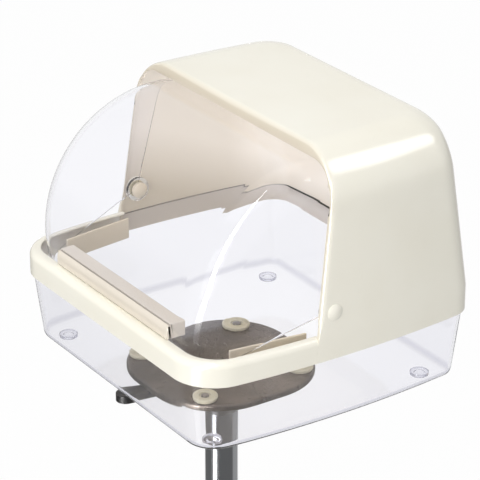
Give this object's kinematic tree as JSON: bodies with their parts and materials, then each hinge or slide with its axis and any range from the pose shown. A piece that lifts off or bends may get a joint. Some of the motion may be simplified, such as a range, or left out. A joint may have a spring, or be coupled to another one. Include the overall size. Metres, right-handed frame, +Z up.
{
  "type": "hooded box unit with roll-back visor on a swivelling column",
  "caption": "Hooded cabinet head with a clear tray, a clear roll-back visor and a padded mounting plate that swivels on a chrome column.",
  "frame": {"origin": "centre of the column spigot's lower end", "axes": "+Z up along the column, -Y towards the visor (front), +X to the right seen from the front"},
  "size_m": [0.3664, 0.328, 0.524],
  "materials": {
    "cream_plastic": "gloss moulded plastic, ivory",
    "clear_plastic": "clear moulded plastic, faintly cool",
    "plate_steel": "satin, brownish grey",
    "chrome": "polished",
    "zinc": "bright zinc",
    "black_plastic": "matte moulded plastic",
    "pad_rubber": "cream rubber",
    "bearing": "nylon"
  },
  "bodies": {
    "column": {"column_tube": "chrome", "column_plug": "zinc", "thrust_washer": "bearing"},
    "plunger": {"release_plunger": "zinc"},
    "lever": {"lever_bar": "plate_steel", "lever_grip": "black_plastic"},
    "visor": {"visor": "clear_plastic", "visor_handle": "cream_plastic", "handle_screws": "zinc"},
    "turret": {"swivel_head": "plate_steel", "flange_bolts": "zinc", "mounting_plate": "plate_steel", "plate_pads": "pad_rubber", "pad_screws": "zinc", "pad_nuts": "zinc", "lever_pin": "zinc", "tray": "clear_plastic", "tray_feet": "clear_plastic", "hood_shell": "cream_plastic", "guide_rail_left": "cream_plastic", "guide_rail_right": "cream_plastic", "pivot_pin_left": "zinc", "pivot_cover_left": "cream_plastic", "pivot_cap_left": "cream_plastic", "pivot_washer_left": "bearing", "pivot_pin_right": "zinc", "pivot_cover_right": "cream_plastic", "pivot_cap_right": "cream_plastic", "pivot_washer_right": "bearing"}
  },
  "joints": [
    {"name": "swivel_turn", "type": "hinge", "parent": "column", "child": "turret", "pos_m": [0, 0, 0.24], "axis": [0, 0, 1], "continuous": true},
    {"name": "visor_roll", "type": "hinge", "parent": "turret", "child": "visor", "pos_m": [0, 0.01, 0.37], "axis": [-1, 0, 0], "range_deg": [0, 84]},
    {"name": "lever_tilt", "type": "hinge", "parent": "turret", "child": "lever", "pos_m": [-0.00363, -0.01455, 0.2225], "axis": [-0.9703, 0.2419, 0], "range_deg": [0, 5], "stiffness_Nm_per_rad": 2, "springref_deg": -8.59},
    {"name": "plunger_press", "type": "slide", "parent": "column", "child": "plunger", "axis": [0, 0, 1], "range_m": [-0.0013, 0]}
  ],
  "couplings": [
    {"joint": "plunger_press", "follows": "lever_tilt", "m_per_rad": -0.01375}
  ]
}
